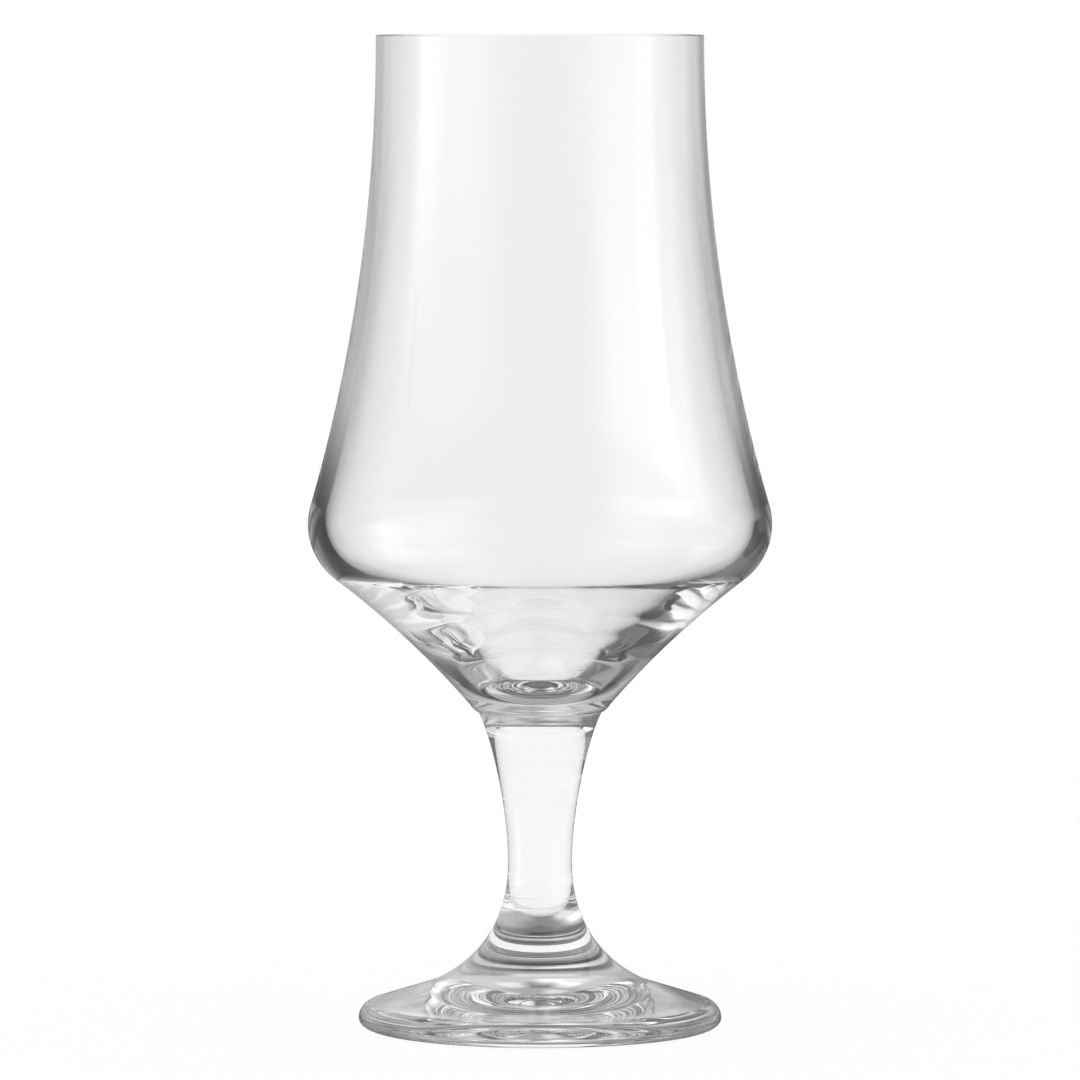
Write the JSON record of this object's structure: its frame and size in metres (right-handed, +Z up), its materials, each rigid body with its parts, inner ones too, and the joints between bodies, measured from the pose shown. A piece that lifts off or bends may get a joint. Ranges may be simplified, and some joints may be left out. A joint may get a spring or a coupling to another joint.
{
  "type": "stemmed beer glass",
  "caption": "Clear stemmed beer glass: tall bowl narrowing to the rim over a round shoulder and a cone, on a tapered stem and a wide round foot.",
  "frame": {"origin": "on the table under the middle of the foot", "axes": "+Z up along the axis of rotation, from the foot to the rim; +X and +Y are any two directions across it, -Y towards the picture's camera"},
  "size_m": [0.084, 0.084, 0.18],
  "materials": {
    "bowl_glass": "clear, fire-polished",
    "stem_glass": "clear, fire-polished",
    "foot_glass": "clear, fire-polished"
  },
  "bodies": {
    "root": {"bowl": "bowl_glass", "stem": "stem_glass", "foot": "foot_glass"}
  },
  "joints": []
}
